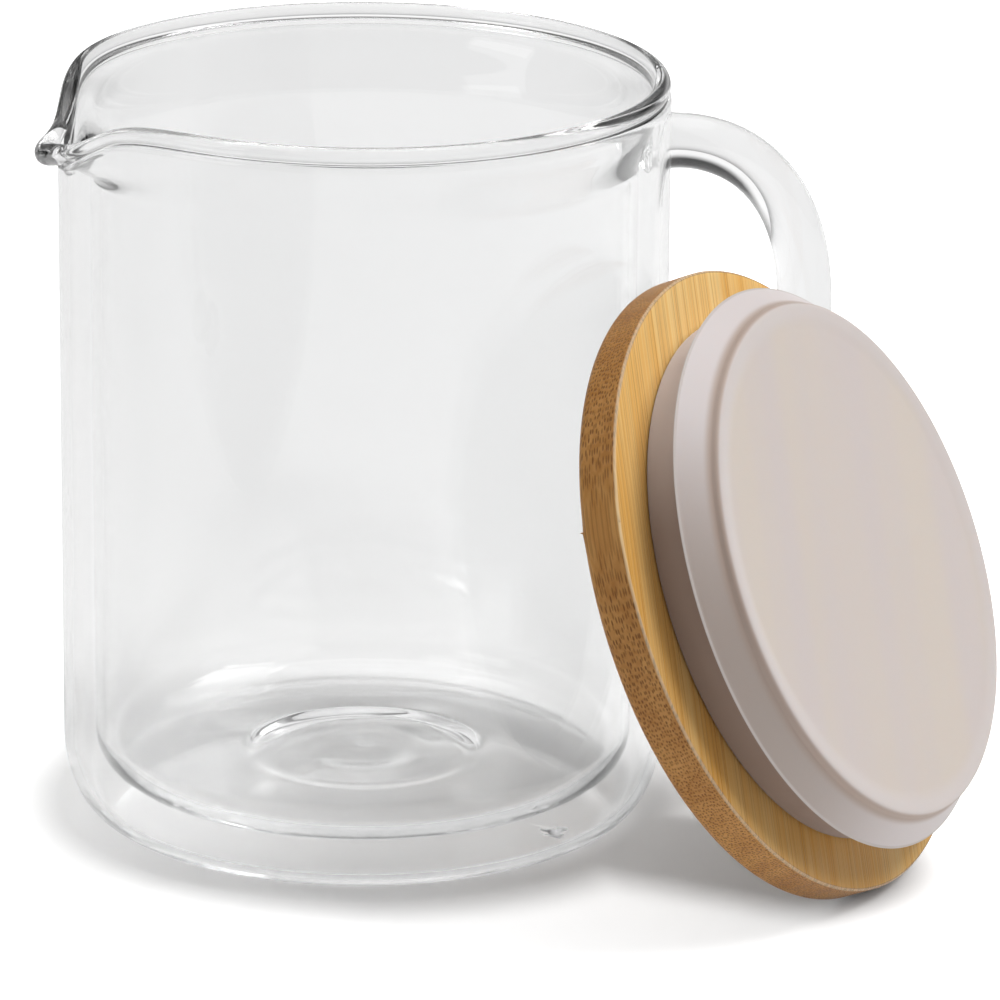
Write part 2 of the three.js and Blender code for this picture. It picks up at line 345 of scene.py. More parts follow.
def floorHeight(r, edge):
    wave = ripple["height"] * np.cos(2 * np.pi * r / ripple["length"]) * bell(r, ripple["fade"])
    lump = ripple["lump"] * bell(r, ripple["lumpWide"])
    step = ripple["step"] * smooth((r - ripple["stepFrom"]) / (ripple["stepTo"] - ripple["stepFrom"]))
    return pushedUp(r, edge) + lump + step + wave - ripple["pip"] * bell(r, ripple["pipWide"])


# both walls as one body of glass: the skin runs from the base up the outside, over the rim and down
# the inside, and the hollow is the closed space between the walls
def makeWalls():
    flat = pot["radius"] - pot["cornerWide"]
    hollowWall = pot["radius"] - pot["wall"]
    outside = hollowWall - pot["gap"]
    inside = outside - pot["vesselWall"]
    bottom = pot["base"] + pot["floorGap"]
    floor = bottom + pot["vesselFloor"]
    corner, small = pot["vesselCorner"], pot["vesselCorner"] - pot["vesselWall"]
    edge = outside - corner
    rimHalf = pot["rimWide"] / 2
    rimMiddle = pot["radius"] - pot["rimIn"] - rimHalf
    mouth = rimMiddle - rimHalf
    waist = rimMiddle + rimHalf * math.cos(pot["tuck"])
    neck, seam = pot["height"] - pot["neck"], pot["height"] - pot["seam"] - pot["wedge"] / 2
    rimLow, rimSide = pot["height"] - pot["rimHigh"], pot["height"] - pot["rimRound"]
    low, still = pot["height"] - pot["flareBottom"], pot["height"] - spout["depth"]
    r = np.linspace(edge, 0, ripple["rings"])
    over = np.stack([r, floor + floorHeight(r, edge)], axis=1)
    r = np.linspace(edge, 0, ripple["ringsUnder"])
    under = np.stack([r, bottom + pushedUp(r, edge)], axis=1)
    skinProfile = np.concatenate([
        line((0, 0), (flat, 0), 6)[:-1],
        arc(flat, pot["cornerHigh"], pot["cornerWide"], pot["cornerHigh"], -quarter, 0, 18),
        line((pot["radius"], pot["cornerHigh"]), (pot["radius"], still), 8)[1:],
        line((pot["radius"], still), (pot["radius"], neck), 14)[1:-1],
        arc(waist, neck, pot["radius"] - waist, rimLow - neck, 0, quarter, 8)[:-1],
        arc(rimMiddle, rimSide, rimHalf, pot["rimRound"], -pot["tuck"], math.pi, 34),
        flare(inside, mouth, pot["height"] - pot["flareTop"], 18),
        line((inside, low), (inside, floor + small), 6)[1:-1],
        arc(edge, floor + small, small, small, 0, -quarter, 14),
        over[1:],
    ])
    bendWide, bendHigh = pot["cornerWide"] - pot["wall"], pot["cornerHigh"] - pot["base"]
    hollowProfile = np.concatenate([
        line((0, pot["base"]), (flat, pot["base"]), 8)[:-1],
        arc(flat, pot["cornerHigh"], bendWide, bendHigh, -quarter, 0, 14),
        line((hollowWall, pot["cornerHigh"]), (hollowWall, still), 6)[1:],
        line((hollowWall, still), (hollowWall, seam), 12)[1:-1],
        arc(hollowWall - pot["wedge"] / 2, seam, pot["wedge"] / 2, pot["wedge"] / 2, 0, math.pi, 6),
        flare(outside, hollowWall - pot["wedge"], seam, 18)[1:],
        line((outside, low), (outside, bottom + corner), 6)[1:-1],
        arc(edge, bottom + corner, corner, corner, 0, -quarter, 14),
        under[1:],
    ])
    grid = drawSpout(skinProfile)
    pressed = grid[-len(over):]
    for middleX, middleY, high, wide in ripple["uneven"]:
        away = np.hypot(pressed[..., 0] / mm - middleX, pressed[..., 1] / mm - middleY)
        pressed[..., 2] += high * mm * bell(away, wide)
    return skin("glassPot", grid, drawSpout(hollowProfile))


# handle: a round rod carried along half of a squared oval, spread a little where it meets the wall;
# both ends stop inside the wall's thickness
handle = {
    "rod": 11.0, "topDepth": 17.4, "span": 73.5, "reach": 36.5, "square": 2.3, "sunk": 1.0,
    "spread": 0.9, "spreadLength": 1.3, "fine": 4001, "crowd": 0.12, "steps": 130, "sides": 56,
}


def makeHandle():
    swing = handle["reach"] - handle["rod"] / 2
    middle = pot["height"] - handle["topDepth"] - handle["span"] / 2
    power = 2 / handle["square"]
    angle = np.linspace(0, np.pi, handle["fine"])
    side = np.sin(angle).clip(0) ** power
    lift = np.sign(np.cos(angle)) * np.abs(np.cos(angle)) ** power
    path = np.stack([pot["radius"] + swing * side, middle + handle["span"] / 2 * lift], axis=1)
    root = pot["radius"] - handle["sunk"]
    path = np.concatenate([[[root, path[0, 1]]], path, [[root, path[-1, 1]]]])
    run = np.concatenate([[0], np.cumsum(np.linalg.norm(np.diff(path, axis=0), axis=1))])
    ease = np.linspace(0, 1, handle["steps"])
    even = run[-1] * (ease - handle["crowd"] * np.sin(2 * np.pi * ease) / math.pi)
    x, z = np.interp(even, run, path[:, 0]), np.interp(even, run, path[:, 1])
    dx, dz = np.gradient(x), np.gradient(z)
    length = np.hypot(dx, dz)
    dx[[0, -1]], dz[[0, -1]] = (length[0], -length[-1]), 0
    past = (np.minimum(even, run[-1] - even) - handle["sunk"]) / handle["spreadLength"]
    radius = handle["rod"] / 2 + handle["spread"] * np.exp(-past.clip(0))
    # a ring of no size closes each end
    along = (x, z, -dz / length, dx / length)
    x, z, nx, nz = (np.concatenate([n[:1], n, n[-1:]])[:, None] for n in along)
    radius = np.concatenate([[0], radius, [0]])[:, None]
    turn = np.linspace(0, 2 * np.pi, handle["sides"], endpoint=False)
    across = radius * np.cos(turn)
    grid = np.stack([x + nx * across, radius * np.sin(turn), z + nz * across], axis=-1)
    return skin("handleRod", grid * mm)


# vent bead: an uneven blob of glass over the closed vent in the base: a flattened ball whose radius
# swells in lobes and towards its sides as sines of the turn, and whose height varies as one too
vent = {
    "inset": 4.5, "azimuth": -51.6, "head": 2.2, "high": 0.8, "sunk": 0.8, "uneven": 0.3,
    "lobes": 3, "lobeTurn": 0.7, "sides": 2, "sideTurn": 2.1, "turns": 48, "rows": 25,
}


def makeVentBead():
    turn = np.linspace(0, 2 * np.pi, vent["turns"], endpoint=False)
    climb = np.linspace(-1, 1, vent["rows"])[:, None] * quarter
    lobes = np.sin(vent["lobes"] * turn + vent["lobeTurn"]) * np.cos(climb)
    sides = np.sin(vent["sides"] * turn + vent["sideTurn"]) * np.sin(2 * climb)
    r = vent["head"] * np.cos(climb) * (1 + vent["uneven"] * (lobes + sides))
    rise = np.where(climb > 0, vent["high"], vent["sunk"]) * np.sin(climb)
    rise = rise * (1 + vent["uneven"] * np.sin(2 * turn) * np.cos(climb))
    out = pot["radius"] - pot["cornerWide"] - vent["inset"]
    azimuth = math.radians(vent["azimuth"])
    x, y = out * math.cos(azimuth) + r * np.cos(turn), out * math.sin(azimuth) + r * np.sin(turn)
    return skin("ventBead", np.stack([x, y, pot["base"] + rise], axis=-1) * mm)


glassPot = fuse(makeWalls(), [makeHandle(), makeVentBead()], pot["sharp"])
place(glassPot, "pot", ["outer_wall", "inner_vessel", "handle", "vent_bead"], makeGlass())
print("glass made")

# how the lid leans on the pot: heights in the lid run from the board's underside towards the seal
lean = {"azimuth": -41.0, "rise": 23.9, "gap": 0.3}
lid = {
    "radius": 62.0, "thick": 9.0, "round": 2.0, "arris": 0.6, "strips": 5, "glue": 0.04, "grainTurn": 27.0,
    "stepRadius": 49.3, "stepHigh": 12.5, "steps": 30, "edgeSteps": 64, "sharp": 40,
}


def lidAxes():
    azimuth, rise = math.radians(lean["azimuth"]), math.radians(lean["rise"])
    across = np.array([-math.sin(azimuth), math.cos(azimuth), 0])
    level = np.array([math.cos(azimuth), math.sin(azimuth), 0])
    normal = math.cos(rise) * level + np.array([0, 0, math.sin(rise)])
    up = np.cross(normal, across)
    flat, reach = lid["thick"] - lid["round"], lid["radius"] - lid["round"]
    away = pot["radius"] + lean["gap"] + lid["round"] + flat * math.cos(rise) + reach * math.sin(rise)
    high = lid["round"] + flat * math.sin(rise) + reach * math.cos(rise)
    return away * level + np.array([0, 0, high]), across, up, normal


lidCentre, lidAcross, lidUp, lidNormal = lidAxes()
grain = math.radians(lid["grainTurn"])
grainAlong = math.sin(grain) * lidAcross + math.cos(grain) * lidUp


def onLid(local):
    x, y, z = (local[..., k:k + 1] for k in range(3))
    return (lidCentre + x * lidAcross + y * lidUp + z * lidNormal) * mm


# turns points about the lid's own axis
def turned(points, angle):
    c, s = math.cos(angle), math.sin(angle)
    x, y = points[..., 0], points[..., 1]
    return np.stack([x * c - y * s, y * c + x * s, points[..., 2]], axis=-1)


# one strip of the glued board: at each place across the grain the board's outline is its turned
# profile cut lengthwise, so half its length there is the root of radius squared less place squared
def makeStrip(number):
    pitch = 2 * lid["radius"] / lid["strips"]
    low = (number - lid["strips"] / 2) * pitch + lid["glue"] / 2
    high = low + pitch - lid["glue"]
    low, high = max(low, -lid["radius"]), min(high, lid["radius"])
    full, step = lid["radius"], lid["stepRadius"]
    atEdge = number in (0, lid["strips"] - 1)
    steps = lid["edgeSteps"] if atEdge else lid["steps"]
    places = full * np.sin(np.linspace(math.asin(low / full), math.asin(high / full), steps))
    if atEdge:  # the step ends in this strip, so its edge stands twice: with the step and without
        places = np.sort(np.concatenate([places, [math.copysign(step, low + high)] * 2]))
    profile = np.concatenate([
        line((0, -lid["thick"]), (full - lid["round"], -lid["thick"]), 6)[:-1],
        arc(full - lid["round"], lid["round"] - lid["thick"], lid["round"], lid["round"], -quarter, 0, 10),
        line((full, lid["round"] - lid["thick"]), (full, -lid["arris"]), 6)[1:-1],
        arc(full - lid["arris"], -lid["arris"], lid["arris"], lid["arris"], 0, quarter, 6),
        line((full - lid["arris"], 0), (step, 0), 3)[1:],
        line((step, 0), (step, lid["stepHigh"]), 3)[1:],
        line((step, lid["stepHigh"]), (0, lid["stepHigh"]), 6)[1:],
    ])
    r, z = profile[None, :, 0], profile[None, :, 1]
    v = places[:, None]
    half = np.sqrt(np.maximum(r * r - v * v, 0))
    twice = np.diff(places) == 0
    outer = np.append(twice, False) if low + high < 0 else np.append(False, twice)
    seat = (np.abs(v) > step + hair) | outer[:, None]
    tall = np.where(seat, np.minimum(z, 0), z)
    half = np.where(seat & (z > 0), 0, half)
    top = np.concatenate([half, -half[:, ::-1][:, 1:-1]], axis=1)
    deep = np.concatenate([tall, tall[:, ::-1][:, 1:-1]], axis=1)
    rings = np.stack([np.broadcast_to(v, top.shape), top, deep], axis=-1)
    # both cut faces are closed by shrinking the outline to its own middle line
    capLow, capHigh = rings[:1].copy(), rings[-1:].copy()
    capLow[..., 1] = 0
    capHigh[..., 1] = 0
    rings = np.concatenate([capLow, rings, capHigh])
    points = onLid(turned(rings, -grain))
    return skin(f"bambooStrip{number + 1}", points, layers={"grain": rings * mm}, sharp=lid["sharp"])


# place along a line across the lid that is turned this far from its level axis
def acrossLid(tree, spot, degrees):
    turn = math.radians(degrees) + grain
    return vectorMaths(tree, "DOT_PRODUCT", spot, (math.cos(turn), math.sin(turn), 0))


# distance from the lid's axis, and height along it
def aboutLid(tree, spot):
    parts = separated(tree, spot)
    return vectorMaths(tree, "LENGTH", flatPlace(tree, parts["X"], parts["Y"])), parts["Z"]


# shared fibre pattern: bundles of fibre lie side by side along the grain, wandering a little, so
# that they show as dots where the wood is cut across and as streaks where it is cut lengthwise
fibreLook = {
    "pitch": 0.00058, "scatter": 0.72, "wander": 0.0006, "wanderScale": (90, 26, 90), "wanderDetail": 1.0,
    "streakScale": (2300, 11, 700), "streakDetail": 3.0, "cloudScale": (210, 6, 150), "cloudDetail": 2.0,
}


def makeFibreGroup():
    look = fibreLook
    tree = bpy.data.node_groups.new("bambooFibre", "ShaderNodeTree")
    tree.interface.new_socket("Place", in_out="INPUT", socket_type="NodeSocketVector")
    tree.interface.new_socket("Shift", in_out="INPUT", socket_type="NodeSocketFloat")
    for name in ("Dots", "Depth", "Streaks", "Cloud"):
        tree.interface.new_socket(name, in_out="OUTPUT", socket_type="NodeSocketFloat")
    enter = newNode(tree, "NodeGroupInput")
    leave = newNode(tree, "NodeGroupOutput")
    spot = vectorMaths(tree, "ADD", enter.outputs["Place"], enter.outputs["Shift"])
    parts = separated(tree, spot)
    wander = maths(tree, "SUBTRACT", noisy(tree, spot, look["wanderScale"], look["wanderDetail"]), 0.5)
    wander = maths(tree, "MULTIPLY", wander, look["wander"])
    bundle = flatPlace(tree, maths(tree, "ADD", parts["X"], wander), parts["Z"])
    cells = newNode(tree, "ShaderNodeTexVoronoi", feature="F1", voronoi_dimensions="2D")
    cells.inputs["Scale"].default_value = 1.0
    cells.inputs["Randomness"].default_value = look["scatter"]
    each = 1 / look["pitch"]
    wire(tree, vectorMaths(tree, "MULTIPLY", bundle, (each, each, each)), cells.inputs["Vector"])
    wire(tree, cells.outputs["Distance"], leave.inputs["Dots"])
    wire(tree, separated(tree, cells.outputs["Color"])["X"], leave.inputs["Depth"])
    wire(tree, noisy(tree, spot, look["streakScale"], look["streakDetail"]), leave.inputs["Streaks"])
    wire(tree, noisy(tree, spot, look["cloudScale"], look["cloudDetail"]), leave.inputs["Cloud"])
    return tree


fibreGroup = makeFibreGroup()

# bamboo: pairs are the limits of a mask, in millimetres where they name a reach, an inset or a depth
bambooLook = {
    "light": (1.0, 0.71, 0.30, 1), "mid": (0.88, 0.45, 0.085, 1), "dark": (0.42, 0.165, 0.022, 1),
    "endBase": (0.60, 0.305, 0.095, 1), "endDeep": (0.42, 0.18, 0.045, 1), "endDot": (0.13, 0.045, 0.01, 1),
    "tones": (0.52, 0.66, 0.42, 0.58, 0.46), "shift": 0.37, "ends": (0.06, 0.24), "streak": (0.32, 0.68),
    "cloud": (0.28, 0.72), "dots": (0.42, 0.2), "leastDot": 0.5, "thread": 0.4, "cutDots": 0.75,
    "foot": 0.42, "paintedShadeTurn": 205.0, "paintedShadeReach": (0, 55), "sideTone": 0.9, "sideDepth": (-0.3, -0.6),
    "arrisPaintedHighlight": (0.93, 0.80, 0.58, 1), "arrisPaintedHighlightAmount": 0.4, "arrisPaintedHighlightInset": (0.55, 0.3), "arrisPaintedHighlightDepth": (-0.6, -0.3),
    "bounce": (0.3, 0.3, 0.3, 1), "bounceAmount": 0.7, "image": (1, 1, 1, 1), "gloss": 0.2,
    "roughness": 0.42, "streakRough": 0.14, "arrisSmooth": 0.15,
    "bump": 0.3, "bumpDepth": 0.0003, "streakRise": 0.6,
}


# end grain shows where the surface faces along the grain, and its darker tone on the board's whole
# side; the face is darkened towards the lid's foot as painted shade of the seal, and the arris round it
# has a pale painted highlight; light thrown back by the wood is nearly grey, and the wood's image in
# the glass is white
def makeBamboo(name, number):
    material, tree, shader = newMaterial(name)
    look = bambooLook
    spot = newNode(tree, "ShaderNodeAttribute", attribute_name="grain").outputs["Vector"]
    radius, depth = aboutLid(tree, spot)
    fibre = newNode(tree, "ShaderNodeGroup", node_tree=fibreGroup)
    fibre.inputs["Shift"].default_value = look["shift"] * number
    wire(tree, spot, fibre.inputs["Place"])
    geometry = newNode(tree, "ShaderNodeNewGeometry")
    facing = vectorMaths(tree, "DOT_PRODUCT", geometry.outputs["Normal"], tuple(grainAlong))
    ends = span(tree, maths(tree, "ABSOLUTE", facing), look["ends"])
    streak = span(tree, fibre.outputs["Streaks"], look["streak"])
    cloud = span(tree, fibre.outputs["Cloud"], look["cloud"])
    strength = maths(tree, "MULTIPLY", fibre.outputs["Depth"], 1 - look["leastDot"])
    strength = maths(tree, "ADD", strength, look["leastDot"])
    dots = maths(tree, "MULTIPLY", span(tree, fibre.outputs["Dots"], look["dots"]), strength)
    thread = maths(tree, "MULTIPLY", dots, look["thread"])
    tone = maths(tree, "MULTIPLY", maths(tree, "ADD", streak, cloud), 0.5)
    tone = maths(tree, "ADD", tone, look["tones"][number] - 0.5, clamp=True)
    flat = blendColour(tree, tone, look["mid"], look["light"])
    # painted shade: the face is darkened towards the lid's foot, where the seal would shade it
    foot = span(tree, acrossLid(tree, spot, look["paintedShadeTurn"]), look["paintedShadeReach"], mm)
    flat = blendColour(tree, maths(tree, "MULTIPLY", foot, look["foot"]), flat, look["dark"])
    flat = blendColour(tree, thread, flat, look["dark"])
    cut = blendColour(tree, tone, look["endDeep"], look["endBase"])
    side = maths(tree, "MULTIPLY", span(tree, depth, look["sideDepth"], mm), look["sideTone"])
    flat = blendColour(tree, side, flat, blendColour(tree, thread, cut, look["endDot"]))
    cut = blendColour(tree, maths(tree, "MULTIPLY", dots, look["cutDots"]), cut, look["endDot"])
    colour = blendColour(tree, ends, flat, cut)
    # painted highlight: the arris round the face is painted pale, and it is also made smoother
    arris = [lid["radius"] - inset for inset in look["arrisPaintedHighlightInset"]]
    arrisPaintedHighlight = maths(tree, "MULTIPLY", span(tree, radius, arris, mm), span(tree, depth, look["arrisPaintedHighlightDepth"], mm))
    colour = blendColour(tree, maths(tree, "MULTIPLY", arrisPaintedHighlight, look["arrisPaintedHighlightAmount"]), colour, look["arrisPaintedHighlight"])
    rays = newNode(tree, "ShaderNodeLightPath")
    bounce = maths(tree, "MULTIPLY", rays.outputs["Is Diffuse Ray"], look["bounceAmount"])
    colour = blendColour(tree, bounce, colour, look["bounce"])
    mirrored = maths(tree, "GREATER_THAN", rays.outputs["Glossy Depth"], 0.5)
    wire(tree, blendColour(tree, mirrored, colour, look["image"]), shader.inputs["Base Color"])
    shader.inputs["Specular IOR Level"].default_value = look["gloss"]
    rough = varied(tree, streak, look["roughness"], look["streakRough"])
    rough = maths(tree, "SUBTRACT", rough, maths(tree, "MULTIPLY", arrisPaintedHighlight, look["arrisSmooth"]))
    wire(tree, rough, shader.inputs["Roughness"])
    relief = maths(tree, "SUBTRACT", maths(tree, "MULTIPLY", streak, look["streakRise"]), dots)
    addBump(tree, shader, relief, look["bump"], look["bumpDepth"])
    return material


for number in range(lid["strips"]):
    bamboo = makeBamboo(f"bamboo{number + 1}", number)
    place(makeStrip(number), "lid", [f"bamboo_strip_{number + 1}"], bamboo)
print("bamboo made")

# seal: a cap over the board's step whose lip hangs back like a skirt; its face is a plate that stands
# on the lip, with a soft bead round it that falls to the flat as half a cosine wave
seal = {
    "stem": 51.8, "fit": 0.3, "high": 15.5, "gap": 4.4, "lip": 55.8, "lipDrop": 6.0, "lipRise": 0.5,
    "lipThick": 1.5, "inset": 0.6, "plateRise": 1.1, "round": 1.1, "bead": 4.6, "beadHigh": 0.5,
    "insideRound": 0.3, "stemRound": 0.4, "rootLow": 0.5, "rootHigh": 0.2, "lipRound": 0.25,
    "lipEdge": (-0.4, 0.42), "crease": (0.35, -0.28), "plateFoot": (0.1, 0.02),
    "beadSteps": 14, "turns": 288, "sharp": 50,
}


def makeSeal():
    inside = lid["stepRadius"] + seal["fit"]
    under = lid["stepHigh"] + seal["fit"]
    top, stem, plate = seal["high"], seal["stem"], seal["stem"] - seal["inset"]
    bend, inner, outer = seal["round"], seal["insideRound"], seal["stemRound"]
    lip, lipTop, lipIn = seal["lip"], top - seal["plateRise"], seal["lip"] - seal["lipThick"]
    lipLow = lipTop - seal["lipDrop"]
    lipHigh = lipLow + seal["lipRise"]
    root, ridge = top - seal["gap"], top + seal["beadHigh"] - bend
    lipEdge = np.add((lip, lipHigh), seal["lipEdge"])
    crease, plateFoot = (np.add((plate, lipTop), seal[key]) for key in ("crease", "plateFoot"))
    fall = np.linspace(plate - bend, plate - bend - seal["bead"], seal["beadSteps"])
    share = np.linspace(0, np.pi, seal["beadSteps"])
    bead = np.stack([fall, top + seal["beadHigh"] * 0.5 * (1 + np.cos(share))], axis=1)
    profile = np.concatenate([
        line((0, under), (inside, under), 8),
        line((inside, under), (inside, seal["fit"] + inner), 8)[1:],
        arc(inside + inner, seal["fit"] + inner, inner, inner, math.pi, 3 * quarter, 4)[1:],
        arc(stem - outer, seal["fit"] + outer, outer, outer, 3 * quarter, 4 * quarter, 5),
        line((stem, seal["fit"] + outer), (stem, root - seal["rootLow"]), 10)[1:],
        line((stem + seal["rootHigh"], root - seal["rootHigh"]), (lipIn, lipLow), 10),
        line((lipIn, lipLow), (lip, lipHigh), 5)[1:-1],
        arc(lip - seal["lipRound"], lipHigh, seal["lipRound"], seal["lipRound"], 0, math.pi / 3, 4),
        line(lipEdge, crease, 12),
        line(plateFoot, (plate, ridge), 4),
        arc(plate - bend, ridge, bend, bend, 0, quarter, 10)[1:],
        bead[1:],
        line(bead[-1], (0, top), 12)[1:],
    ])
    turn = np.linspace(0, 2 * np.pi, seal["turns"], endpoint=False)
    r, z = profile[:, :1], profile[:, 1:]
    local = np.stack([r * np.cos(turn), r * np.sin(turn), z + 0 * turn], axis=-1)
    return skin("sealCap", onLid(local), layers={"grain": turned(local, grain) * mm}, sharp=seal["sharp"])


# limits of the tones in millimetres: beadAt, wallAt and lipAt past the plate's edge, edgeAt past the
# lip's, stemAt past the stem, stemUnder above the lip's root, and each reach across the lid
sealLook = {
    "lip": (0.74, 0.675, 0.665, 1), "lipPaintedShade": (0.50, 0.42, 0.375, 1), "warm": (0.685, 0.605, 0.54, 1),
    "deep": (0.665, 0.59, 0.565, 1), "bead": (0.69, 0.625, 0.60, 1), "stem": (0.36, 0.245, 0.185, 1),
    "stemPaintedLight": (0.72, 0.58, 0.50, 1), "wall": (0.50, 0.39, 0.33, 1), "edge": (0.62, 0.56, 0.53, 1),
    "bandScale": (60, 2, 0), "bandDetail": 1.0, "bands": (0.35, 0.65),
    "beadAt": (-5.6, -2.0), "wallAt": (-0.7, -0.1), "lipAt": (0.1, 1.2),
    "edgeAt": (-0.5, -0.25), "stemAt": (0.25, 0.05), "stemUnder": (0.7, -0.1),
    "lipPaintedShadeTurn": 190.0, "lipPaintedShadeReach": (24, 56), "stemPaintedLightTurn": 90.0, "stemPaintedLightReach": (20, 46),
    "roughness": 0.42, "speckRough": 0.12, "speckScale": 900.0, "bump": 0.05, "bumpDepth": 0.0002,
    "scatter": 0.3, "scatterReach": (0.004, 0.003, 0.0025),
}


# silicone lets the bamboo under it show: warm over the step with faint broad bands, brown where it
# is tight on the step's side, paler towards the top there as painted light, a little brown in the
# plate's wall, which is also darker there as painted shade, and milky in the lip and the bead; the lip
# is darker and browner as painted shade towards the side that hangs over the board
def makeSilicone():
    material, tree, shader = newMaterial("silicone")
    look = sealLook
    spot = newNode(tree, "ShaderNodeAttribute", attribute_name="grain").outputs["Vector"]
    radius, depth = aboutLid(tree, spot)
    plate, root = seal["stem"] - seal["inset"], seal["high"] - seal["gap"]

    def past(value, start, key):
        return span(tree, value, [start + limit for limit in look[key]], mm)

    bands = span(tree, noisy(tree, spot, look["bandScale"], look["bandDetail"]), look["bands"])
    colour = blendColour(tree, bands, look["deep"], look["warm"])
    colour = blendColour(tree, past(radius, plate, "beadAt"), colour, look["bead"])
    # the plate's wall is brown where the bamboo shows through, and darker as painted shade in the crease
    colour = blendColour(tree, past(radius, plate, "wallAt"), colour, look["wall"])
    # painted shade: the lip is darker and browner towards the side that hangs over the board
    lipPaintedShadeMask = span(tree, acrossLid(tree, spot, look["lipPaintedShadeTurn"]), look["lipPaintedShadeReach"], mm)
    lip = blendColour(tree, lipPaintedShadeMask, look["lip"], look["lipPaintedShade"])
    colour = blendColour(tree, past(radius, plate, "lipAt"), colour, lip)
    # painted light: the stem is paler towards the top of the lid
    high = span(tree, acrossLid(tree, spot, look["stemPaintedLightTurn"]), look["stemPaintedLightReach"], mm)
    stem = blendColour(tree, high, look["stem"], look["stemPaintedLight"])
    onStem = past(radius, seal["stem"], "stemAt")
    tight = maths(tree, "MULTIPLY", onStem, past(depth, root, "stemUnder"))
    colour = blendColour(tree, tight, colour, stem)
    colour = blendColour(tree, past(radius, seal["lip"], "edgeAt"), colour, look["edge"])
    wire(tree, colour, shader.inputs["Base Color"])
    speck = newNode(tree, "ShaderNodeTexNoise")
    speck.inputs["Scale"].default_value = look["speckScale"]
    wire(tree, spot, speck.inputs["Vector"])
    rough = varied(tree, speck.outputs["Fac"], look["roughness"], look["speckRough"])
    wire(tree, rough, shader.inputs["Roughness"])
    addBump(tree, shader, speck.outputs["Fac"], look["bump"], look["bumpDepth"])
    shader.inputs["Subsurface Weight"].default_value = look["scatter"]
    shader.inputs["Subsurface Radius"].default_value = look["scatterReach"]
    return material


place(makeSeal(), "seal", ["lid_seal"], makeSilicone())
print("seal made")

# white floor, in metres: for the camera it keeps its shadows round the pot and under the leaning lid
# and is lifted to white outside them; seen through the glass it glows a little far behind the pot, and
# under the pot as painted light in place of the light that the glass lets through
studio = {
    "floor": 4.0, "rows": 33, "drop": 0.00005, "floorColour": (0.93, 0.93, 0.93, 1), "roughness": 0.9,
    "foot": 0.058, "strip": 0.012, "reach": 0.098, "soft": (0.0, 0.02), "near": 0.58,
    "far": 0.9, "farReach": (0.13, 0.42), "under": 0.12, "underReach": (0.07, 0.05),
    "behind": 0.05, "behindReach": (0.3, 0.7),
}


# distance from the ground that the pot stands on and the lid leans over: a disc, and a rounded
# strip that runs from its middle to the lid's foot; and the distance from the disc's middle
def fromFoot(tree):
    spot = newNode(tree, "ShaderNodeTexCoord").outputs["Object"]
    azimuth = math.radians(lean["azimuth"])
    towards = (math.cos(azimuth), math.sin(azimuth), 0)
    away = vectorMaths(tree, "LENGTH", spot)
    along = maths(tree, "MAXIMUM", vectorMaths(tree, "DOT_PRODUCT", spot, towards), 0.0)
    nearest = newNode(tree, "ShaderNodeVectorMath", operation="SCALE")
    nearest.inputs[0].default_value = towards
    wire(tree, maths(tree, "MINIMUM", along, studio["reach"]), nearest.inputs["Scale"])
    gap = vectorMaths(tree, "DISTANCE", spot, nearest.outputs["Vector"])
    disc = maths(tree, "SUBTRACT", away, studio["foot"])
    strip = maths(tree, "SUBTRACT", gap, studio["strip"])
    return maths(tree, "MINIMUM", disc, strip), away


def makeFloor():
    side = np.linspace(-1, 1, studio["rows"]) * studio["floor"]
    x, y = np.meshgrid(side, side, indexing="ij")
    quads = cellsOf(np.arange(x.size).reshape(x.shape))
    points = np.stack([x, y, np.full_like(x, -studio["drop"])], axis=-1).reshape(-1, 3)
    mesh = bpy.data.meshes.new("floor")
    mesh.from_pydata(points.tolist(), [], quads.tolist())
    floor = bpy.data.objects.new("floor", mesh)
    bpy.context.scene.collection.objects.link(floor)
    material, tree, shader = newMaterial("paper")
    shader.inputs["Base Color"].default_value = studio["floorColour"]
    shader.inputs["Roughness"].default_value = studio["roughness"]
    shader.inputs["Specular IOR Level"].default_value = 0.0
    shader.inputs["Emission Color"].default_value = (1, 1, 1, 1)
    rays = newNode(tree, "ShaderNodeLightPath")
    outside, away = fromFoot(tree)
    near = maths(tree, "MULTIPLY", span(tree, outside, studio["soft"]), studio["near"])
    far = maths(tree, "MULTIPLY", span(tree, away, studio["farReach"]), studio["far"] - studio["near"])
    lift = maths(tree, "MULTIPLY", maths(tree, "ADD", near, far), rays.outputs["Is Camera Ray"])
    # painted light: seen through the glass, the floor under the pot glows in place of light through the
    # glass
    under = maths(tree, "MULTIPLY", span(tree, away, studio["underReach"]), studio["under"])
    behind = maths(tree, "MULTIPLY", span(tree, away, studio["behindReach"]), studio["behind"])
    seen = maths(tree, "ADD", under, behind)
    through = maths(tree, "MULTIPLY", seen, rays.outputs["Is Transmission Ray"])
    wire(tree, maths(tree, "ADD", lift, through), shader.inputs["Emission Strength"])
    mesh.materials.append(material)


makeFloor()

# studio light: a soft dome, bright at the horizon behind, darker above it and in front, with its own
# level at each side and overhead; the limits are sines of the angle towards that side
dome = {
    "azimuth": -14.0, "horizon": 1.0, "back": 0.06, "backLimits": (0.05, 0.25), "front": 0.06,
    "frontLimits": (0.0, 0.8), "right": 0.28, "rightLimits": (0.5, 0.9), "left": 0.1,
    "leftLimits": (-0.5, -0.9), "high": 0.5, "highLimits": (0.5, 0.85),
}


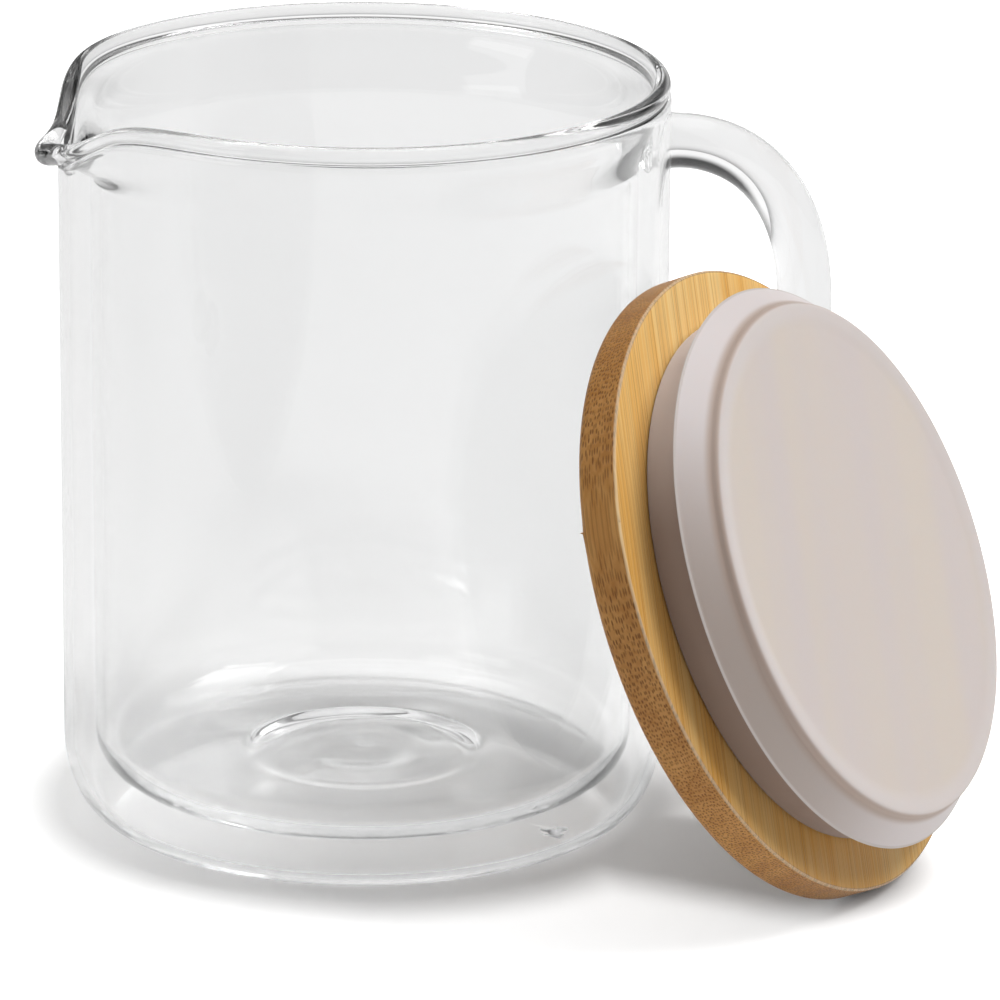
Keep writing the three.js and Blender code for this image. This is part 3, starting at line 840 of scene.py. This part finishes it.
def makeWorld():
    world = bpy.data.worlds.new("studio")
    bpy.context.scene.world = world
    world.use_nodes = True
    tree = world.node_tree
    back = tree.nodes["Background"]
    looking = newNode(tree, "ShaderNodeTexCoord").outputs["Generated"]
    azimuth = math.radians(dome["azimuth"])
    c, s = math.cos(azimuth), math.sin(azimuth)
    sideways = vectorMaths(tree, "DOT_PRODUCT", looking, (c, s, 0))
    nearer = vectorMaths(tree, "DOT_PRODUCT", looking, (s, -c, 0))
    rise = vectorMaths(tree, "DOT_PRODUCT", looking, (0, 0, 1))
    light = blendValue(tree, span(tree, rise, dome["backLimits"]), dome["horizon"], dome["back"])
    for value, side in ((nearer, "front"), (sideways, "right"), (sideways, "left"), (rise, "high")):
        light = blendValue(tree, span(tree, value, dome[side + "Limits"]), light, dome[side])
    rays = newNode(tree, "ShaderNodeLightPath")
    wire(tree, maths(tree, "MAXIMUM", light, rays.outputs["Is Camera Ray"]), back.inputs["Strength"])
    back.inputs["Color"].default_value = (1, 1, 1, 1)


makeWorld()

# soft boxes: a wide one above, the key high at the right, which the glass doesn't mirror, and a small
# one low at the left; places and sizes in metres, power in watts
softBoxes = {
    "topBox": {"place": (-0.1, 0.2, 1.8), "size": (2.8, 1.7), "power": 10.5, "mirrored": True},
    "keyBox": {"place": (1.4, -0.4, 1.95), "size": (1.2, 1.2), "power": 32.0, "mirrored": False},
    "leftBox": {"place": (-1.1, -0.32, 0.45), "size": (0.35, 0.6), "power": 0.8, "mirrored": True},
}
boxAim = (0, 0, 0.06)


def makeSoftBox(name, box):
    lamp = bpy.data.lights.new(name, "AREA")
    lamp.shape = "RECTANGLE"
    lamp.size, lamp.size_y = box["size"]
    lamp.energy = box["power"]
    lampObject = bpy.data.objects.new(name, lamp)
    lampObject.location = box["place"]
    lampObject.visible_glossy = box["mirrored"]
    away = np.subtract(box["place"], boxAim)
    away = away / np.linalg.norm(away)
    right = np.cross([0, 1, 0], away)
    right = right / np.linalg.norm(right)
    up = np.cross(away, right)
    turn = Matrix(np.stack([right, up, away], axis=1).tolist())
    lampObject.rotation_euler = turn.to_euler()
    bpy.context.scene.collection.objects.link(lampObject)


for boxName, softBox in softBoxes.items():
    makeSoftBox(boxName, softBox)
print("studio made")

# camera at the photograph's place: distance and height in millimetres, turns in degrees
view = {
    "azimuth": -14.0, "back": 1301.5, "high": 476.8, "yaw": 1.194, "pitch": 17.676, "roll": 0.52,
    "lens": 247.18, "sensor": 36.0, "clip": (0.01, 50.0),
}


# the camera looks along +Y, turned by its yaw, tipped down by its pitch and rolled, and is then
# carried round the pot to its azimuth
def makeCamera():
    azimuth, yaw, pitch, roll = (math.radians(view[key]) for key in ("azimuth", "yaw", "pitch", "roll"))
    forward = np.array([math.sin(yaw) * math.cos(pitch), math.cos(yaw) * math.cos(pitch), -math.sin(pitch)])
    right = np.array([math.cos(yaw), -math.sin(yaw), 0])
    up = np.cross(right, forward)
    right, up = math.cos(roll) * right + math.sin(roll) * up, math.cos(roll) * up - math.sin(roll) * right
    c, s = math.cos(azimuth), math.sin(azimuth)
    turn = np.array([[c, -s, 0], [s, c, 0], [0, 0, 1]])
    matrix = np.eye(4)
    matrix[:3, :3] = turn @ np.stack([right, up, -forward], axis=1)
    matrix[:3, 3] = turn @ np.array([0, -view["back"], view["high"]]) * mm
    camera = bpy.data.cameras.new("camera")
    camera.sensor_width = view["sensor"]
    camera.lens = view["lens"]
    camera.clip_start, camera.clip_end = view["clip"]
    cameraObject = bpy.data.objects.new("camera", camera)
    cameraObject.matrix_world = Matrix(matrix.tolist())
    bpy.context.scene.collection.objects.link(cameraObject)
    bpy.context.scene.camera = cameraObject


makeCamera()
bounces = 128  # light passes many faces of glass
scene = bpy.context.scene
scene.view_settings.view_transform = "Standard"
scene.cycles.max_bounces = bounces
scene.cycles.transmission_bounces = bounces
scene.cycles.glossy_bounces = bounces
scene.cycles.blur_glossy = 0.0
print("camera set")
